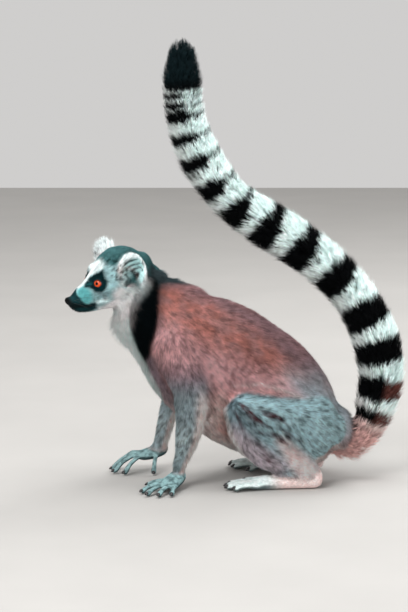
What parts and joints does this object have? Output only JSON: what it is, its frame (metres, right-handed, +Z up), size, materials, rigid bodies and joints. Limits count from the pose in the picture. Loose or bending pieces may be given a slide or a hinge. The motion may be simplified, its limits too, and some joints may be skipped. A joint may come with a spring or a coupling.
{
  "type": "ring-tailed lemur model",
  "caption": "Life-size still model of a ring-tailed lemur crouched on its haunches, hands down in front and its long ringed tail curved up over its back.",
  "frame": {"origin": "on the floor, midway along the animal's length and width", "axes": "-X is the way the animal faces, -Y is its left side, +Z is up"},
  "size_m": [0.3826, 0.1806, 0.5015],
  "materials": {
    "grey_fur": "short dense grey fur with darker tips",
    "brown_fur": "dense pinkish-brown fur with darker tips",
    "white_fur": "soft white fur",
    "ringed_fur": "long fur in black and white rings",
    "black_skin": "fine-grained bare black skin, slightly moist",
    "eye": "wet gloss over an orange iris and a black pupil"
  },
  "bodies": {
    "root": {"head": "white_fur", "nose": "black_skin", "eye_left": "eye", "eye_right": "eye", "ear_left": "white_fur", "ear_right": "white_fur", "neck": "grey_fur", "trunk": "brown_fur", "tail_1": "ringed_fur", "tail_2": "ringed_fur", "tail_3": "ringed_fur", "tail_4": "ringed_fur", "tail_5": "ringed_fur", "tail_6": "ringed_fur", "upper_arm_left": "grey_fur", "upper_arm_right": "grey_fur", "forearm_left": "grey_fur", "forearm_right": "grey_fur", "hand_left": "grey_fur", "hand_right": "grey_fur", "thigh_left": "grey_fur", "thigh_right": "grey_fur", "shank_left": "grey_fur", "shank_right": "grey_fur", "foot_left": "white_fur", "foot_right": "white_fur"}
  },
  "joints": []
}
